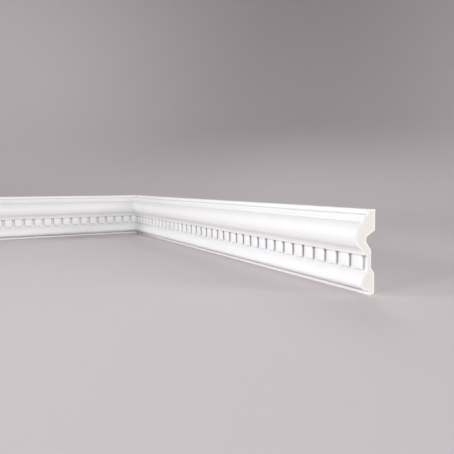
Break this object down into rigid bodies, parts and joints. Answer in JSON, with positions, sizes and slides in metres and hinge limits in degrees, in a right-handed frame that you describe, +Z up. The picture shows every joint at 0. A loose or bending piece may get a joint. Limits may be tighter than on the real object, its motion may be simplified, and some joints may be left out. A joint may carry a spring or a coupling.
{
  "type": "dentil dado moulding, inside corner",
  "caption": "Wall moulding with a large roll over a rank of dentils and a smaller roll, turning an inside corner: a long length and a short return, mitred together.",
  "frame": {"origin": "on the underside's plane, under the middle of the outer box of the two runs", "axes": "+Z up; the long run lies along Y with its back towards +X, and the return along X with its back towards +Y, so the room's corner is at the +X, +Y corner"},
  "size_m": [0.328, 0.7444, 0.092],
  "materials": {
    "primed_white": "smooth factory primer, satin, over moulded hard foam"
  },
  "bodies": {
    "root": {"long_run": "primed_white", "return_run": "primed_white"}
  },
  "joints": []
}
